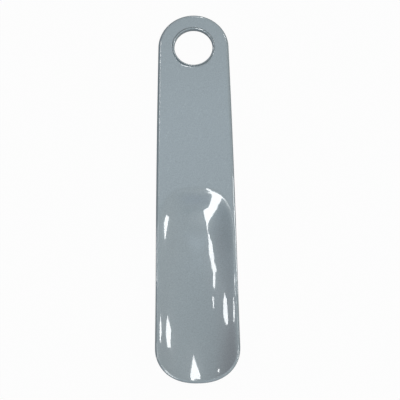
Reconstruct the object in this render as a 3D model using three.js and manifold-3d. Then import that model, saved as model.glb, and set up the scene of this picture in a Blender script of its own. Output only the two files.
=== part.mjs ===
// A shoehorn moulded in one piece. A flat handle with a round end and a hanging hole runs into a heel scoop,
// which is hollow both ways and open at its rounded tip. It lies on its back with the hollow up, in
// millimetres, with +Z up and +Y along the handle towards the hole.

import * as THREE from 'three';
import { mergeVertices } from 'three/addons/utils/BufferGeometryUtils.js';
import Module from 'manifold-3d';

// The plate is as thick all over the handle, and its scoop thins from below towards the tip. Its edge is round.
const thickness = 3;
const tipThickness = 1.6;
const edgeRadius = 1.5;

// The handle's round end is concentric with the hanging hole, and lengths along the plate start at that centre
const endRadius = 18.4;
const holeRadius = 10;
const rimRadius = 0.9;

// The outline widens to the blade and ends in a flattened round tip
const bladeWidth = 40.8;
const tipReach = 178.3;
const tipLength = 18.5;
const flareShare = 1.9;
const tipPower = 2.33;

// The scoop starts in a rounded arch and has three depths: at the arch's top, half-way to the tip and at the tip
const archTop = 77.5;
const archLength = 36;
const archPower = 3.25;
const archDepth = 9.8;
const middleDepth = 3.4;
const tipDepth = 5.1;

// How steep the scoop's wall is, in shares of its steepest, at shares of the way out from its middle to its rim
const wallShares = [[0, 0], [0.41, 0.39], [0.82, 1], [0.9, 0.9], [1, 0]];

// From here the plate curls up towards the tip, on a circle
const curlStart = 115.5;
const curlRadius = 122;

// How finely the surface is divided
const lengthStep = 4;
const endSteps = 12;
const tipSteps = 12;
const faceSteps = 20;
const edgeSteps = 4;
const holeSteps = 48;
const cutOverrun = 2;

const plastic = new THREE.MeshStandardMaterial({ color: 0x95a3ab, roughness: 0.22, metalness: 0 });

// The sides leave the round end along its tangent and run as parabolas to the tip's round part
const bladeHalf = bladeWidth / 2;
const tipStart = tipReach - tipLength;
const flareAngle = Math.atan(flareShare * (bladeHalf - endRadius) / tipStart);
const flareStart = -endRadius * Math.sin(flareAngle);
const flareHalf = endRadius * Math.cos(flareAngle);

function flareProgress(along) {
  return THREE.MathUtils.clamp((along - flareStart) / (tipStart - flareStart), 0, 1);
}

function halfWidth(along) {
  const share = flareProgress(along);
  return flareHalf + (bladeHalf - flareHalf) * share * (flareShare + (1 - flareShare) * share);
}

// The area under the wall's graph, from the middle out to a share of the way to the rim
function climb(share) {
  let area = 0;
  for (let k = 1; k < wallShares.length; k += 1) {
    const [from, steepFrom] = wallShares[k - 1];
    const [to, steepTo] = wallShares[k];
    const reach = THREE.MathUtils.clamp(share, from, to) - from;
    area += reach * (steepFrom + (steepTo - steepFrom) * reach / (to - from) / 2);
  }
  return area;
}

// How deep a place on the plan has sunk: fully in the scoop's middle and not at all at its rim or outside it
function sunkShare(x, along) {
  const across = Math.abs(x) / halfWidth(along);
  const ahead = Math.max(0, archTop + archLength - along) / archLength;
  const outward = Math.min(1, (across ** archPower + ahead ** archPower) ** (1 / archPower));
  return 1 - climb(outward) / climb(1);
}

// The parabola through the scoop's three depths
function scoopDepth(along) {
  const share = (along - archTop) / (tipReach - archTop);
  const bow = 4 * middleDepth - 3 * archDepth - tipDepth;
  return archDepth + share * (bow + share * (tipDepth - archDepth - bow));
}

// Height of the plate's middle surface, where the handle's is zero
function height(x, along) {
  const curled = Math.max(0, along - curlStart);
  const rise = curlRadius - Math.sqrt(curlRadius ** 2 - curled ** 2);
  return rise - scoopDepth(along) * sunkShare(x, along);
}

// What is left of the thickness: all of it up to the arch's top, and then less along a straight line
function thinning(along) {
  const share = THREE.MathUtils.clamp((along - archTop) / (tipReach - archTop), 0, 1);
  return 1 + (tipThickness / thickness - 1) * share;
}

// The point at a level above the middle surface, square to it. Thinning brings levels up towards the upper face.
function formed(x, along, level) {
  const probe = thickness / 100;
  const riseAcross = height(x + probe, along) - height(x - probe, along);
  const riseAlong = height(x, along + probe) - height(x, along - probe);
  const normal = new THREE.Vector3(-riseAcross, riseAlong, 2 * probe).normalize();
  const face = thickness / 2;
  const raised = face - (face - level) * thinning(along);
  return new THREE.Vector3(x, -along, height(x, along)).addScaledVector(normal, raised);
}

// Rows from the round end to the tip: half the outline's width and its outward direction on the plan
function outlineRows() {
  const rows = [];
  const endTurn = Math.PI / 2 - flareAngle;
  for (let k = 0; k < endSteps; k += 1) {
    const angle = endTurn * k / endSteps;
    const out = new THREE.Vector2(Math.sin(angle), -Math.cos(angle));
    rows.push({ along: endRadius * out.y, half: endRadius * out.x, out });
  }
  const flareSteps = Math.ceil((tipStart - flareStart) / lengthStep);
  for (let k = 0; k < flareSteps; k += 1) {
    const along = flareStart + (tipStart - flareStart) * k / flareSteps;
    const slope = (bladeHalf - flareHalf) / (tipStart - flareStart)
      * (flareShare + 2 * (1 - flareShare) * flareProgress(along));
    rows.push({ along, half: halfWidth(along), out: new THREE.Vector2(1, -slope).normalize() });
  }
  for (let k = 0; k <= tipSteps; k += 1) {
    const angle = Math.PI / 2 * k / tipSteps;
    const across = k < tipSteps ? Math.cos(angle) ** (2 / tipPower) : 0;
    const ahead = Math.sin(angle) ** (2 / tipPower);
    const out = new THREE.Vector2(across ** (tipPower - 1) / bladeHalf, ahead ** (tipPower - 1) / tipLength);
    rows.push({ along: tipStart + tipLength * ahead, half: bladeHalf * across, out: out.normalize() });
  }
  return rows;
}

// Places round the plate's section: over the top face, down one edge, back under it and up the other edge
function sectionPlaces() {
  const places = [];
  const round = Math.min(edgeRadius, thickness / 2);
  const straight = thickness / 2 - round;
  for (const side of [1, -1]) {
    for (let k = 0; k < faceSteps; k += 1) {
      places.push({ across: side * (2 * k / faceSteps - 1), inset: round, level: side * thickness / 2 });
    }
    const arc = [];
    for (let k = 0; k <= edgeSteps; k += 1) {
      const angle = Math.PI / 2 * k / edgeSteps;
      arc.push({ inset: round * (1 - Math.sin(angle)), level: straight + round * Math.cos(angle) });
    }
    for (const { inset, level } of arc) places.push({ across: side, inset, level: side * level });
    for (const { inset, level } of arc.reverse().slice(0, -1)) {
      places.push({ across: side, inset, level: -side * level });
    }
  }
  return places;
}

// The whole plate as one closed surface, before its hole is cut
function plateGeometry() {
  const rows = outlineRows();
  const places = sectionPlaces();
  const points = rows.flatMap(({ along, half, out }) => places.map(({ across, inset, level }) => {
    const thinInset = inset * thinning(along);
    return formed(across * (half - out.x * thinInset), along - out.y * thinInset, level);
  }));
  const index = [];
  for (let row = 0; row < rows.length - 1; row += 1) {
    for (let place = 0; place < places.length; place += 1) {
      const next = (place + 1) % places.length;
      const [a, b] = [row * places.length + place, row * places.length + next];
      const [c, d] = [a + places.length, b + places.length];
      index.push(a, c, b, b, c, d);
    }
  }
  return new THREE.BufferGeometry().setFromPoints(points).setIndex(index);
}

// A spool that leaves the hole with its straight wall and a rounded rim on both faces
function holeGeometry() {
  const round = Math.min(rimRadius, thickness / 2);
  const reach = thickness / 2 + cutOverrun;
  const profile = new THREE.Path();
  profile.moveTo(0, -reach);
  profile.lineTo(holeRadius + round, -reach);
  profile.lineTo(holeRadius + round, -thickness / 2);
  profile.absarc(holeRadius + round, round - thickness / 2, round, -Math.PI / 2, -Math.PI, true);
  profile.absarc(holeRadius + round, thickness / 2 - round, round, Math.PI, Math.PI / 2, true);
  profile.lineTo(holeRadius + round, reach);
  profile.lineTo(0, reach);
  return new THREE.LatheGeometry(profile.getPoints(edgeSteps), holeSteps).rotateX(Math.PI / 2);
}

const wasm = await Module();
wasm.setup();

function solid(geometry) {
  geometry.deleteAttribute('normal');
  geometry.deleteAttribute('uv');
  const merged = mergeVertices(geometry);
  const corners = Array.from(merged.index.array);
  const triVerts = [];
  for (let k = 0; k < corners.length; k += 3) {
    const [a, b, c] = corners.slice(k, k + 3);
    if (a !== b && b !== c && c !== a) triVerts.push(a, b, c);
  }
  const vertProperties = merged.attributes.position.array;
  return new wasm.Manifold(new wasm.Mesh({ numProp: 3, vertProperties, triVerts: new Uint32Array(triVerts) }));
}

function shoehornMoulding() {
  const cut = solid(plateGeometry()).subtract(solid(holeGeometry())).getMesh();
  const geometry = new THREE.BufferGeometry();
  geometry.setAttribute('position', new THREE.BufferAttribute(cut.vertProperties, 3));
  geometry.setIndex(new THREE.BufferAttribute(cut.triVerts, 1));
  geometry.computeVertexNormals();
  const mesh = new THREE.Mesh(geometry, plastic);
  mesh.name = 'shoehorn_moulding';
  return mesh;
}

// Lying down, it touches the ground with the round end's lower edge and with the scoop's belly
function layDown(mesh) {
  const heel = new THREE.Vector2(endRadius - Math.min(edgeRadius, thickness / 2), -thickness / 2);
  const place = new THREE.Vector3();
  const position = mesh.geometry.attributes.position;
  let tilt = 0;
  for (let k = 0; k < position.count; k += 1) {
    place.fromBufferAttribute(position, k);
    if (place.y < 0) tilt = Math.max(tilt, Math.atan2(heel.y - place.z, heel.x - place.y));
  }
  mesh.rotation.x = -tilt;
  const box = new THREE.Box3().setFromObject(mesh, true);
  mesh.position.set(0, -(box.min.y + box.max.y) / 2, -box.min.z);
}

const shoehorn = new THREE.Group();
const moulding = shoehornMoulding();
layDown(moulding);
shoehorn.add(moulding);

export default shoehorn;
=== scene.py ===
import math

import bpy
import numpy as np
from mathutils import Matrix, Vector


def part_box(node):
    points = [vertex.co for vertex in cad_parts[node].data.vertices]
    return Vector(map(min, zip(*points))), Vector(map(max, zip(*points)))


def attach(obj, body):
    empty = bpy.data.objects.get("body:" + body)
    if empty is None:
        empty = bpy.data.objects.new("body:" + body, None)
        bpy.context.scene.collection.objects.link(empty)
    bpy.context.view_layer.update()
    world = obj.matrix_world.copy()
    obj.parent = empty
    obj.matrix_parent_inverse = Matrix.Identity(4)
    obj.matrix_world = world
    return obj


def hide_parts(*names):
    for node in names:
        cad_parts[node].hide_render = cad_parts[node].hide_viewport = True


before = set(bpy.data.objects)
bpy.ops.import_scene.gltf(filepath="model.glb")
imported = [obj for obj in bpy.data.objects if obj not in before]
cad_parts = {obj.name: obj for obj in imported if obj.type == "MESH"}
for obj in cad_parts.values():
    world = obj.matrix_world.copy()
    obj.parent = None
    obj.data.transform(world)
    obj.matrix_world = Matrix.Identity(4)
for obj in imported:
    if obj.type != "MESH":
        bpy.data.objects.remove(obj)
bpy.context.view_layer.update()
scene = bpy.context.scene
scene.view_settings.view_transform = "Standard"
millimetre = 0.001
white = (1, 1, 1, 1)
print("frame loaded, CAD nodes:", sorted(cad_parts))

# The camera looks down at the hollow side, a little from the tip's end, with the hanging hole at the top
cameraSetup = {
    "aim": (2.21, -4.61, 7.23),  # the point looked at, in millimetres
    "distance": 600,             # from it to the lens, in millimetres
    "lean": 14.83,               # degrees from straight above, towards the tip
    "roll": -0.874,              # degrees
    "lens": 107.33,              # millimetres
    "sensorWidth": 36,           # millimetres
}


# A turn whose columns are the axes of a camera: right, up as back cross right, and back
def axesMatrix(right, back):
    return Matrix((right, back.cross(right), back)).transposed().to_4x4()


# The lens lies at its distance from the aim, along straight up turned by the lean towards the tip
def addCamera(setup):
    lean = math.radians(setup["lean"])
    back = Vector((0, -math.sin(lean), math.cos(lean)))
    place = Matrix.Translation((Vector(setup["aim"]) + back * setup["distance"]) * millimetre)
    roll = Matrix.Rotation(math.radians(setup["roll"]), 4, "Z")
    camera = bpy.data.objects.new("camera", bpy.data.cameras.new("camera"))
    camera.data.lens = setup["lens"]
    camera.data.sensor_width = setup["sensorWidth"]
    camera.matrix_world = place @ axesMatrix(Vector((1, 0, 0)), back) @ roll
    scene.collection.objects.link(camera)
    scene.camera = camera


addCamera(cameraSetup)
print("camera placed")


# Shader maths: a node's output that takes part in Python expressions
class Socket:
    def __init__(self, shader, out):
        self.shader = shader
        self.out = out

    # Any operation on this socket alone, or on the values given
    def math(self, operation, *values):
        return self.shader.node("Math", {"operation": operation}, dict(enumerate(values or (self,))))

    # A vector scaled by one value, or any operation on the vectors given
    def vector(self, operation, *values):
        sockets = {0: self, "Scale": values[0]} if operation == "SCALE" else dict(enumerate(values))
        return self.shader.node("VectorMath", {"operation": operation}, sockets)

    def __add__(self, other):
        return self.math("ADD", self, other)

    def __radd__(self, other):
        return self.math("ADD", other, self)

    def __sub__(self, other):
        return self.math("SUBTRACT", self, other)

    def __rsub__(self, other):
        return self.math("SUBTRACT", other, self)

    def __mul__(self, other):
        return self.math("MULTIPLY", self, other)

    def __rmul__(self, other):
        return self.math("MULTIPLY", other, self)

    # 0 below low, 1 above high and a smooth step between them
    def smoothStep(self, low, high):
        return self.shader.node("MapRange", {"interpolation_type": "SMOOTHSTEP"}, {
            "Value": self, "From Min": low, "From Max": high})


# The node tree of one material or world
class Shader:
    def __init__(self, owner):
        owner.use_nodes = True
        self.nodes = owner.node_tree.nodes
        self.links = owner.node_tree.links
        self.nodes.clear()

    # Any node: its settings first, then the values or links of its sockets
    def node(self, kind, settings=None, sockets=None, output=0):
        made = self.nodes.new("ShaderNode" + kind)
        for name, value in (settings or {}).items():
            setattr(made, name, value)
        for name, value in (sockets or {}).items():
            if isinstance(value, Socket):
                self.links.new(value.out, made.inputs[name])
            else:
                made.inputs[name].default_value = value
        return Socket(self, made.outputs[output]) if made.outputs else made

    def mixColour(self, share, colourA, colourB):
        return self.node("Mix", {"data_type": "RGBA"}, {0: share, 6: colourA, 7: colourB}, 2)

    def vectorOf(self, values):
        return self.node("CombineXYZ", None, dict(enumerate(values)))

    def cameraRay(self):
        return self.node("LightPath", output="Is Camera Ray")

    # 1 for the rays that see the background: from the camera, mirrored or through something clear
    def backgroundRay(self):
        camera, glossy, clear = [self.node("LightPath", output=name) for name in (
            "Is Camera Ray", "Is Glossy Ray", "Is Transmission Ray")]
        return camera.math("MAXIMUM", camera.math("MAXIMUM", camera, glossy), clear)


# The studio. Azimuth is towards +X from straight above and elevation towards the hole, in degrees.
studio = {
    "aim": (0, -3.4, 7.2),     # the panels' common centre, in millimetres
    "lampRadiance": 13,
    "lamps": {
        # name: distance in millimetres and corners. Each shows only as a highlight, on a wall that faces it.
        "window": (700, ((-38, -12), (-33, -17.3), (-25, -22), (-17.5, -25.5), (-12, -18), (-3.4, -13),
                         (-5.2, -3), (-8.8, 7.5), (-11.4, 15), (-14.2, 20.8), (-16, 20.8), (-12.8, 15.5),
                         (-12.2, 9), (-15, 4.6), (-20, 0), (-25, -4.2))),
        "windowCorner": (3000, ((-14.3, 20), (-16.9, 20), (-19.3, 22.8), (-21.5, 23.7), (-23.4, 24),
                                (-23.6, 25.2), (-22.6, 26), (-21.2, 26.4), (-19.2, 29), (-17.8, 31.2),
                                (-15.8, 31.2), (-15.6, 30.2), (-16.5, 28.4), (-17.6, 26.8), (-16.9, 26.2),
                                (-17.1, 24.6), (-15.2, 22.8))),
        "gapLamp": (700, ((-13.2, 31.2), (-14.8, 31.2), (-14.4, 34.3), (-13.6, 34.3))),
        "sideLamp": (700, ((52.6, 2.5), (56, 4), (60, 9), (60, 16.8), (54, 17), (54.2, 16.3), (54.8, 15.5),
                           (55.6, 14.6), (56.1, 13.5), (56, 12.4), (55.5, 11), (55, 9), (54, 6.5), (53, 4))),
        "highLampRight": (700, ((31, 34.9), (34.4, 38.7), (37.3, 41.6), (40, 45.3), (35, 45.4), (28.4, 40.2),
                                (28.8, 38))),
        "highLampLeft": (700, ((-29, 28.1), (-27, 31), (-26.4, 35.4), (-31.3, 38.3), (-34, 38.1), (-31.7, 33),
                               (-31.4, 29.6))),
        "tipLamp": (700, ((4.8, 48), (8.9, 52.4), (12.6, 55.3), (11.8, 57.9), (8, 57.9), (6, 56.8),
                          (-4.3, 56.7), (-4.6, 55.4), (-0.2, 52.4))),
        "smallLamp": (700, ((-32.6, 52.5), (-36.6, 52.5), (-37.3, 53.5), (-33.2, 53.5))),
        "stripRight": (700, ((60, 13), (80, 13), (80, 20), (60, 20))),
        "stripLeft": (260, ((-60, 7), (-74, 7), (-74, 12), (-60, 12))),
        "rimLamp": (30, ((8.8, -1), (9.3, 4), (9.6, 8.5), (10, 14), (10, 21), (12.6, 23), (13.2, 17.5),
                         (12.5, 12.5), (12.5, 9), (11.5, 6.5), (10.5, 4), (9.5, 0))),
    },
    "cardRadiance": 1,
    "cards": {
        # as bright as the room, to hide the window from the arch's upper rim
        "rimCard": (30, ((8.7, -1), (8.2, -2.5), (7.3, -6.3), (5.4, -10.4), (3.2, -14.2), (3.2, -18),
                         (9.5, -18), (9.5, -4))),
    },
    "ambient": (0.2, 0.2, 0.2),  # on matt surfaces from all sides
    "softLights": {
        # name: azimuth, elevation, spread in both directions, colour. They light matt surfaces.
        "keyLight": (30, 0, 40, 40, (2.02, 1.88, 1.72)),
        "windowLight": (-10, -18, 35, 35, (0.54, 0.74, 0.93)),
    },
    "mirrored": {
        # the same for what glossy surfaces show of the room, added to white
        "paleCard": (-2, 23, 11, 4.5, (0.6, 0.72, 0.85)),
        "doorway": (-50, 42, 24, 24, (-0.65, -0.95, -1)),
        "curtain": (46, 38, 12, 13, (-0.45, -0.6, -0.65)),
        "tableEdge": (0, -32, 17, 7, (-0.2, -0.2, 0)),
        "cameraStand": (-2, -12, 13, 8, (-0.6, -0.6, -0.6)),
        "wallRight": (78, 15, 18, 30, (-1, -1, -1)),
        "wallLeft": (-78, 15, 18, 30, (-1, -1, -1)),
    },
    "darkest": (0.06, 0.06, 0.06),  # the least that mirrors show, where the patches take away more
    "horizonShade": 0.05,           # how bright the mirrored room is at the floor's level
    "shadeHeight": 0.35,            # the sine of the angle over the floor where it is white again
}
floorSetup = {
    "size": 6,                      # metres
    "colour": (0.3, 0.3, 0.3, 1),   # what the floor throws back at the object
    "whiteShare": 0.97,             # how much of it is plain white background. The rest shows the shadow.
    "mirroredShare": 0.1,           # the same in glossy surfaces
}


# Straight up, turned by the azimuth towards +X and then lifted by the elevation towards +Y
def directionOf(azimuth, elevation):
    across, along = math.radians(azimuth), math.radians(elevation)
    level = math.cos(along)
    return Vector((math.sin(across) * level, math.sin(along), math.cos(across) * level))


# A shining panel that only glossy surfaces see. Its corners lie in their directions from the aim, on the
# plane square to their middle direction.
def addPanel(name, distance, corners, material):
    directions = [directionOf(*corner) for corner in corners]
    middle = sum(directions, Vector()).normalized()
    points = [Vector(studio["aim"]) + direction * (distance / direction.dot(middle))
              for direction in directions]
    mesh = bpy.data.meshes.new(name)
    mesh.from_pydata([point * millimetre for point in points], [], [range(len(points))])
    mesh.materials.append(material)
    panel = bpy.data.objects.new(name, mesh)
    panel.visible_camera = False
    panel.visible_diffuse = False
    panel.visible_shadow = False
    scene.collection.objects.link(panel)


# White light of one strength, the same in all directions
def glowMaterial(name, radiance):
    material = bpy.data.materials.new(name)
    shader = Shader(material)
    glow = shader.node("Emission", None, {"Color": white, "Strength": radiance})
    shader.node("OutputMaterial", None, {"Surface": glow})
    return material


# The room is white to the camera, a few soft lights to matt surfaces and white with soft patches in mirrors
def addSky(setup):
    sky = bpy.data.worlds.new("studioSky")
    scene.world = sky
    shader = Shader(sky)
    direction = shader.node("TexCoord", output="Generated")
    x, y, z = [shader.node("SeparateXYZ", None, {0: direction}, output=axis) for axis in range(3)]
    azimuth = x.math("ARCTAN2", x, z).math("DEGREES")
    elevation = y.math("ARCSINE").math("DEGREES")

    # Each patch is a bell curve of the angles from its middle
    def withPatches(colour, patches):
        for across, along, spreadAcross, spreadAlong, tint in patches.values():
            sideways = (azimuth - across) * (1 / spreadAcross)
            lengthways = (elevation - along) * (1 / spreadAlong)
            falloff = (0 - sideways * sideways - lengthways * lengthways).math("EXPONENT")
            colour = colour.vector("ADD", colour, shader.vectorOf(tint).vector("SCALE", falloff))
        return colour

    matt = withPatches(shader.vectorOf(setup["ambient"]), setup["softLights"])
    clearOfFloor = z.smoothStep(0, setup["shadeHeight"])
    room = setup["horizonShade"] + clearOfFloor * (1 - setup["horizonShade"])
    mirrored = withPatches(shader.vectorOf((room, room, room)), setup["mirrored"])
    mirrored = mirrored.vector("MAXIMUM", mirrored, setup["darkest"])
    camera, background = shader.cameraRay(), shader.backgroundRay()
    seen = shader.mixColour(camera, mirrored, white)
    light = shader.node("Background", None, {"Color": shader.mixColour(background, matt, seen)})
    shader.node("OutputWorld", None, {"Surface": light})


# The floor is white to the camera with the object's shadow on it, and clear from below
def addFloor(setup):
    half = setup["size"] / 2
    corners = [(-half, -half, 0), (half, -half, 0), (half, half, 0), (-half, half, 0)]
    mesh = bpy.data.meshes.new("floor")
    mesh.from_pydata(corners, [], [range(len(corners))])
    floor = bpy.data.objects.new("floor", mesh)
    scene.collection.objects.link(floor)
    material = bpy.data.materials.new("floorWhite")
    shader = Shader(material)
    matt = shader.node("BsdfDiffuse", None, {"Color": setup["colour"]})
    plain = shader.node("Emission", None, {"Color": white, "Strength": 1})
    camera = shader.cameraRay()
    share = camera * setup["whiteShare"] + (shader.backgroundRay() - camera) * setup["mirroredShare"]
    top = shader.node("MixShader", None, {0: share, 1: matt, 2: plain})
    clear = shader.node("BsdfTransparent")
    below = shader.node("NewGeometry", output="Backfacing")
    surface = shader.node("MixShader", None, {0: below, 1: top, 2: clear})
    shader.node("OutputMaterial", None, {"Surface": surface})
    mesh.materials.append(material)


for kind, radiance in (("lamps", studio["lampRadiance"]), ("cards", studio["cardRadiance"])):
    panelGlow = glowMaterial(kind + "Glow", radiance)
    for panelName, (distance, corners) in studio[kind].items():
        addPanel(panelName, distance, corners, panelGlow)
addSky(studio)
addFloor(floorSetup)
print("studio lit by", len(studio["lamps"]), "lamps and the sky")

# The moulding, in millimetres, as the CAD has it. Lengths along it start at the hole's centre.
moulding = {
    "thickness": 3,                 # of the handle, and the scoop thins from below towards the tip
    "tipThickness": 1.6,
    "edgeRadius": 1.5,
    "endRadius": 18.4,              # of the handle's round end, in plan
    "holeRadius": 10,
    "rimRadius": 0.9,               # of the rounding where the hole's wall meets a face
    "bladeWidth": 40.8,
    "tipReach": 178.3,
    "tipLength": 18.5,              # of the tip's round part, a superellipse in plan
    "flareShare": 1.9,              # how fast the sides leave the round end, where straight sides have 1
    "tipPower": 2.33,               # 2 makes a superellipse a plain ellipse, and more a squarer one
    "archTop": 77.5,
    "archLength": 36,
    "archPower": 3.25,
    "scoopDepths": (9.8, 3.4, 5.1),  # at the arch's top, half-way to the tip and at the tip
    # the wall's steepness, as a share of its steepest, at shares of the way out from the scoop's middle
    "wallShares": ((0, 0), (0.41, 0.39), (0.82, 1), (0.9, 0.9), (1, 0)),
    "curlStart": 115.5,             # from here to the tip the blade curls up along a circle
    "curlRadius": 122,
    "seamHalfWidth": 0.12,          # the faint line round the edge where the mould's halves met
    "seamHeight": 0.03,
    "ringReach": 24,                # the faces are fans round the hole up to here, and straight rows beyond
    "endSamples": 84,               # how finely it is divided, here and below
    "sideSamples": 260,
    "tipSamples": 96,
    "columns": 96,
    "ringSteps": 12,
    "arcSteps": 10,
    "sameDecimals": 5,              # points that agree to these are one
}

# The sides leave the round end along its tangent, and the tip's round part starts at its length from the tip
bladeHalf = moulding["bladeWidth"] / 2
tipStart = moulding["tipReach"] - moulding["tipLength"]
flareAngle = math.atan(moulding["flareShare"] * (bladeHalf - moulding["endRadius"]) / tipStart)
flareStart = -moulding["endRadius"] * math.sin(flareAngle)
flareHalf = moulding["endRadius"] * math.cos(flareAngle)


# A parabola's share of the way from the round end's half width to the blade's
def halfWidth(along):
    share = np.clip((along - flareStart) / (tipStart - flareStart), 0, 1)
    flare = moulding["flareShare"]
    return flareHalf + (bladeHalf - flareHalf) * share * (flare + (1 - flare) * share)


# The area under the broken line of the wall's steepness, from the scoop's middle out to a share of the way
# to its rim
def climb(share):
    area = 0
    shares = moulding["wallShares"]
    for (start, steepStart), (end, steepEnd) in zip(shares, shares[1:]):
        reach = np.clip(share, start, end) - start
        area = area + reach * (steepStart + (steepEnd - steepStart) * reach / (end - start) / 2)
    return area


# Height of the middle surface: a circle's rise past the curl's start, less the scoop's depth. The depth is a
# parabola along it, times one minus the climb at the superellipse distance from the middle line and the arch.
def height(x, along):
    ahead = np.maximum(0, moulding["archTop"] + moulding["archLength"] - along) / moulding["archLength"]
    power = moulding["archPower"]
    outward = np.minimum(1, ((np.abs(x) / halfWidth(along)) ** power + ahead ** power) ** (1 / power))
    sunk = 1 - climb(outward) / climb(1)
    share = (along - moulding["archTop"]) / (moulding["tipReach"] - moulding["archTop"])
    arch, middle, tip = moulding["scoopDepths"]
    bow = 4 * middle - 3 * arch - tip
    depth = arch + share * (bow + share * (tip - arch - bow))
    curled = np.maximum(0, along - moulding["curlStart"])
    return moulding["curlRadius"] - np.sqrt(moulding["curlRadius"] ** 2 - curled ** 2) - depth * sunk


# What is left of the plate's thickness: all of it up to the arch's top, and then less along a straight line
def thinning(along):
    share = np.clip((along - moulding["archTop"]) / (moulding["tipReach"] - moulding["archTop"]), 0, 1)
    return 1 + (moulding["tipThickness"] / moulding["thickness"] - 1) * share


# The point at a level above the middle surface, along its normal from central differences of the height. The
# thinning brings levels up towards the upper face.
def formed(x, along, level):
    x, along, level = np.broadcast_arrays(*(np.asarray(value, float) for value in (x, along, level)))
    probe = moulding["thickness"] / 100
    normal = np.stack([height(x - probe, along) - height(x + probe, along),
                       height(x, along + probe) - height(x, along - probe),
                       np.full(x.shape, 2 * probe)], -1)
    normal /= np.linalg.norm(normal, axis=-1, keepdims=True)
    face = moulding["thickness"] / 2
    raised = face - (face - level) * thinning(along)
    return np.stack([x, -along, height(x, along)], -1) + normal * raised[..., None]


# The right half of the outline from the round end's top to the tip's: a circle's arc, the parabola and a
# quarter of a superellipse. Gives its places along, its half widths and its outward directions.
def outlineHalf():
    angle = (math.pi / 2 - flareAngle) * np.arange(moulding["endSamples"]) / moulding["endSamples"]
    endOut = np.stack([np.sin(angle), -np.cos(angle)], -1)
    share = np.arange(moulding["sideSamples"]) / moulding["sideSamples"]
    sideAlong = flareStart + (tipStart - flareStart) * share
    flare = moulding["flareShare"]
    slope = (bladeHalf - flareHalf) / (tipStart - flareStart) * (flare + 2 * (1 - flare) * share)
    sideOut = np.stack([np.ones_like(slope), -slope], -1)
    turn = math.pi / 2 * np.arange(moulding["tipSamples"] + 1) / moulding["tipSamples"]
    power = moulding["tipPower"]
    across = np.append(np.cos(turn[:-1]) ** (2 / power), 0)
    ahead = np.sin(turn) ** (2 / power)
    tipOut = np.stack([across ** (power - 1) / bladeHalf, ahead ** (power - 1) / moulding["tipLength"]], -1)
    endArc = moulding["endRadius"] * endOut
    along = np.concatenate([endArc[:, 1], sideAlong, tipStart + moulding["tipLength"] * ahead])
    half = np.concatenate([endArc[:, 0], halfWidth(sideAlong), bladeHalf * across])
    out = np.concatenate([endOut, sideOut, tipOut])
    return along, half, out / np.linalg.norm(out, axis=1, keepdims=True)


# Arcs from the upper face to mid height, where a seam stands a hair proud, and on to the lower face: how far
# each place is inset from the edge, and its level
def edgeSection(radius, seamHeight):
    straight = moulding["thickness"] / 2 - radius
    lowest = math.acos(max(0, moulding["seamHalfWidth"] - straight) / radius)
    turn = lowest * np.arange(moulding["arcSteps"] + 1) / moulding["arcSteps"]
    inset = radius * (1 - np.sin(turn))
    level = straight + radius * np.cos(turn)
    return np.concatenate([inset, [-seamHeight], inset[::-1]]), np.concatenate([level, [0], -level[::-1]])


# Four-cornered faces between neighbours on a grid whose points are numbered row by row from the first.
# Flipped, they face the other way.
def gridFaces(rows, columns, first, flip):
    index = first + np.arange(rows * columns).reshape(rows, columns)
    faces = np.stack([index[:-1, :-1], index[1:, :-1], index[1:, 1:], index[:-1, 1:]], -1).reshape(-1, 4)
    return faces[:, ::-1] if flip else faces


# Patches are grids of points, each with whether its faces are flipped. Those that share a border are joined
# at it, and faces that shrink there lose a corner or go.
def joined(patches):
    points = np.concatenate([grid.reshape(-1, 3) for grid, flip in patches])
    starts = np.cumsum([0] + [grid[..., 0].size for grid, flip in patches])
    faces = np.concatenate([gridFaces(*grid.shape[:2], start, flip)
                            for (grid, flip), start in zip(patches, starts)])
    rounded = np.round(points, moulding["sameDecimals"])
    first, index = np.unique(rounded, axis=0, return_index=True, return_inverse=True)[1:]
    faces = index.reshape(-1)[faces]
    same = faces == np.roll(faces, -1, axis=1)
    quads = faces[same.sum(1) == 0]
    single = same.sum(1) == 1
    keep = ~same[single]
    triangles = faces[single][keep].reshape(-1, 3)
    return points[first], quads, triangles


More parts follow.
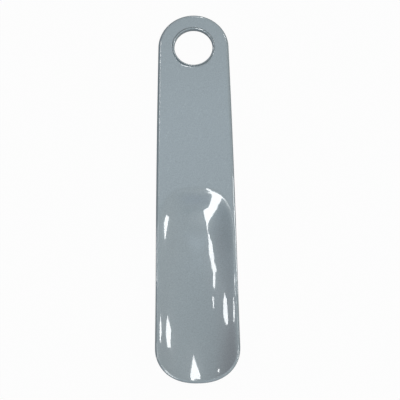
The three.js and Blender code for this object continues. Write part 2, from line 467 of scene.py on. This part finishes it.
# The edge is its section carried round the outline, and the hole's wall another round the hole. Each face is
# straight lines from the hole's rim to the border, and past the cut line straight rows from side to side.
def mouldingPatches():
    along, half, out = outlineHalf()
    loopX = np.concatenate([half, -half[-2:0:-1], half[:1]])[:, None]
    loopAlong = np.concatenate([along, along[-2:0:-1], along[:1]])[:, None]
    outX = np.concatenate([out[:, 0], -out[-2:0:-1, 0], out[:1, 0]])[:, None]
    outAlong = np.concatenate([out[:, 1], out[-2:0:-1, 1], out[:1, 1]])[:, None]
    inset, level = edgeSection(moulding["edgeRadius"], moulding["seamHeight"])
    thinInset = inset * thinning(loopAlong)
    edge = formed(loopX - outX * thinInset, loopAlong - outAlong * thinInset, level)

    # The fans' border: round the end from one side of the cut line to the other, and back along the line
    cut = int(np.searchsorted(along, moulding["ringReach"]))
    faceInset = moulding["edgeRadius"] * thinning(along)
    insetHalf = half - out[:, 0] * faceInset
    insetAlong = along - out[:, 1] * faceInset
    columns = np.linspace(-1, 1, moulding["columns"] + 1)
    borderX = np.concatenate([insetHalf[cut:0:-1], -insetHalf[:cut], columns * insetHalf[cut]])
    cutLine = np.full(columns.shape, insetAlong[cut])
    borderAlong = np.concatenate([insetAlong[cut:0:-1], insetAlong[:cut], cutLine])
    bearing = np.arctan2(borderX, borderAlong)
    rimReach = moulding["holeRadius"] + moulding["rimRadius"]
    share = np.linspace(0, 1, moulding["ringSteps"] + 1)[:, None]
    ringX = rimReach * np.sin(bearing) * (1 - share) + borderX * share
    ringAlong = rimReach * np.cos(bearing) * (1 - share) + borderAlong * share
    stripX = insetHalf[cut:, None] * columns
    stripAlong = np.broadcast_to(insetAlong[cut:, None], stripX.shape)

    rimInset, rimLevel = edgeSection(moulding["rimRadius"], 0)
    reach = moulding["holeRadius"] + rimInset[:, None]
    hole = formed(reach * np.sin(bearing), reach * np.cos(bearing), rimLevel[:, None])
    patches = [(edge, False), (hole, False)]
    for side in (1, -1):
        faceLevel = side * moulding["thickness"] / 2
        patches.append((formed(ringX, ringAlong, faceLevel), side < 0))
        patches.append((formed(stripX, stripAlong, faceLevel), side < 0))
    return patches


# Turned about the X axis by the steepest angle from the round end's lower edge down to the belly, so that it
# rests on both, and then moved into the CAD's box
def laidDown(points):
    heelY = moulding["endRadius"] - moulding["edgeRadius"]
    heelZ = -moulding["thickness"] / 2
    belly = points[points[:, 1] < 0]
    tilt = np.arctan2(heelZ - belly[:, 2], heelY - belly[:, 1]).max()
    turned = points.copy()
    turned[:, 1] = points[:, 1] * math.cos(tilt) + points[:, 2] * math.sin(tilt)
    turned[:, 2] = points[:, 2] * math.cos(tilt) - points[:, 1] * math.sin(tilt)
    low, high = (np.array(corner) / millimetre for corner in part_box("shoehorn_moulding"))
    turned[:, 1] += (low[1] + high[1] - turned[:, 1].min() - turned[:, 1].max()) / 2
    turned[:, 2] += low[2] - turned[:, 2].min()
    return turned


# The patches as one smooth closed mesh that stands for the CAD solid
def addMoulding():
    points, quads, triangles = joined(mouldingPatches())
    mesh = bpy.data.meshes.new("shoehornBody")
    mesh.from_pydata((laidDown(points) * millimetre).tolist(), [], quads.tolist() + triangles.tolist())
    mesh.validate(verbose=True)
    mesh.polygons.foreach_set("use_smooth", np.ones(len(mesh.polygons), bool))
    mesh.update()
    piece = bpy.data.objects.new("shoehornBody", mesh)
    scene.collection.objects.link(piece)
    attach(piece, "root")
    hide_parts("shoehorn_moulding")
    print("moulding made:", len(points), "points,", 2 * len(quads) + len(triangles), "triangles")
    return piece


shoehornBody = addMoulding()

# The plastic, one colour all through, with the marks of handling. Sizes are in millimetres.
plastic = {
    "colour": (0.238, 0.291, 0.32, 1),
    "shadeColour": (0.223, 0.275, 0.304, 1),    # where the pigment lies a little denser
    "cloudSize": 22,
    "cloudDetail": 3,
    "grainSize": 0.55,
    "grainDetail": 1,
    "grainStrength": 0.4,
    "hairlineWidth": 0.3,
    "hairlineLength": 16,
    "hairlineTurn": 24,                         # degrees from the handle's line
    "hairlineEdges": (0.62, 0.75),              # where in the noise a hairline starts and is whole
    "hairlineStrength": 0.1,
    "roughness": 0.25,
    "roughnessSpread": 0.1,
    "baseShine": 0.2,
    "coatRoughness": 0.03,
    "coatIndex": 1.6,
}


# The clouds mix the two colours and shift the roughness, and the grain and the hairlines, which are noise
# stretched along a turned axis, scale the colour. Noise swings about a half.
def plasticMaterial(setup):
    material = bpy.data.materials.new("blueGreyPlastic")
    shader = Shader(material)
    place = shader.node("TexCoord", output="Object")
    inMillimetres = shader.node("Mapping", None, {"Vector": place, "Scale": (1 / millimetre,) * 3})
    clouds = shader.node("TexNoise", None, {
        "Vector": inMillimetres, "Scale": 1 / setup["cloudSize"], "Detail": setup["cloudDetail"]})
    grain = shader.node("TexNoise", None, {
        "Vector": inMillimetres, "Scale": 1 / setup["grainSize"], "Detail": setup["grainDetail"]})
    turned = shader.node("Mapping", None, {
        "Vector": inMillimetres, "Rotation": (0, 0, math.radians(setup["hairlineTurn"]))})
    stretch = (1 / setup["hairlineWidth"], 1 / setup["hairlineLength"], 1 / setup["hairlineWidth"])
    stretched = shader.node("Mapping", None, {"Vector": turned, "Scale": stretch})
    streaks = shader.node("TexNoise", None, {"Vector": stretched, "Scale": 1, "Detail": setup["grainDetail"]})
    hairlines = streaks.smoothStep(*setup["hairlineEdges"])
    colour = shader.mixColour(clouds, setup["colour"], setup["shadeColour"])
    shade = 1 + (grain - 0.5) * setup["grainStrength"] + hairlines * setup["hairlineStrength"]
    roughness = setup["roughness"] + (clouds - 0.5) * setup["roughnessSpread"]
    surface = shader.node("BsdfPrincipled", None, {
        "Base Color": colour.vector("SCALE", shade), "Roughness": roughness,
        "Specular IOR Level": setup["baseShine"], "Coat Weight": 1,
        "Coat Roughness": setup["coatRoughness"], "Coat IOR": setup["coatIndex"]})
    shader.node("OutputMaterial", None, {"Surface": surface})
    return material


shoehornBody.data.materials.append(plasticMaterial(plastic))
print("plastic mixed")
